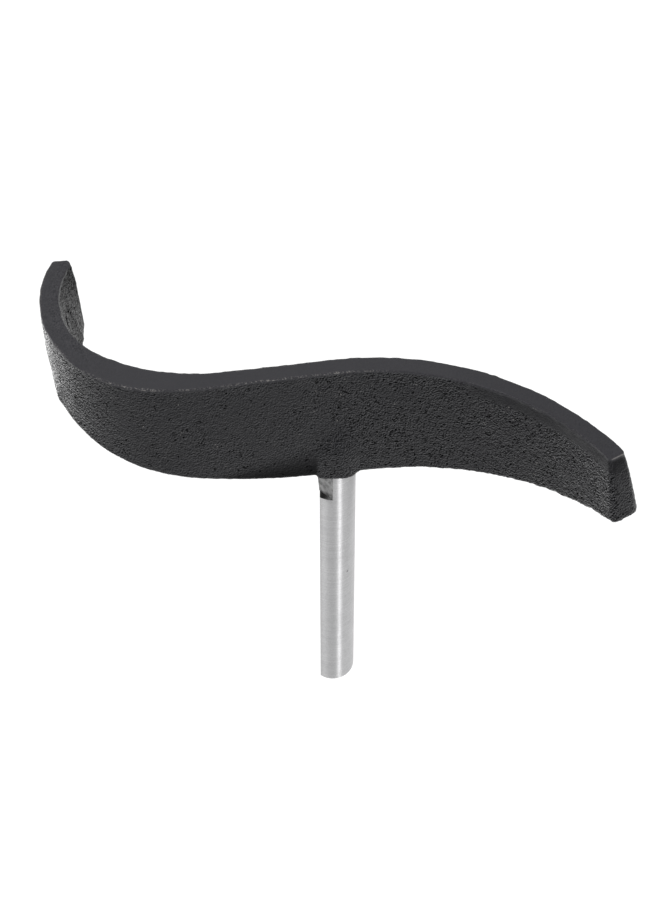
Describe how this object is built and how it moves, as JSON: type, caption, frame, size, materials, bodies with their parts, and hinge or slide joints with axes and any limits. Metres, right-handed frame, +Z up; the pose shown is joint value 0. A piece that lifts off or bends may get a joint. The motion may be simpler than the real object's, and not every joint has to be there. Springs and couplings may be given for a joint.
{
  "type": "window handle lever",
  "caption": "S-shaped black cast iron lever on edge with a boss and a round steel spindle with a long flat, hanging below it.",
  "frame": {"origin": "on the spindle axis, in the plane of the boss underside where the spindle leaves the lever", "axes": "+Z up along the spindle axis out of the lever's top face, +X towards the long sweeping arm, -Y towards the front of the lever"},
  "size_m": [0.1242, 0.0626, 0.1047],
  "materials": {
    "black_iron": "black satin coat over sand-cast iron, smooth top face, pitted sides",
    "bright_steel": "bright drawn bar, fine turned grain"
  },
  "bodies": {
    "root": {"lever_casting": "black_iron", "spindle": "bright_steel"}
  },
  "joints": []
}
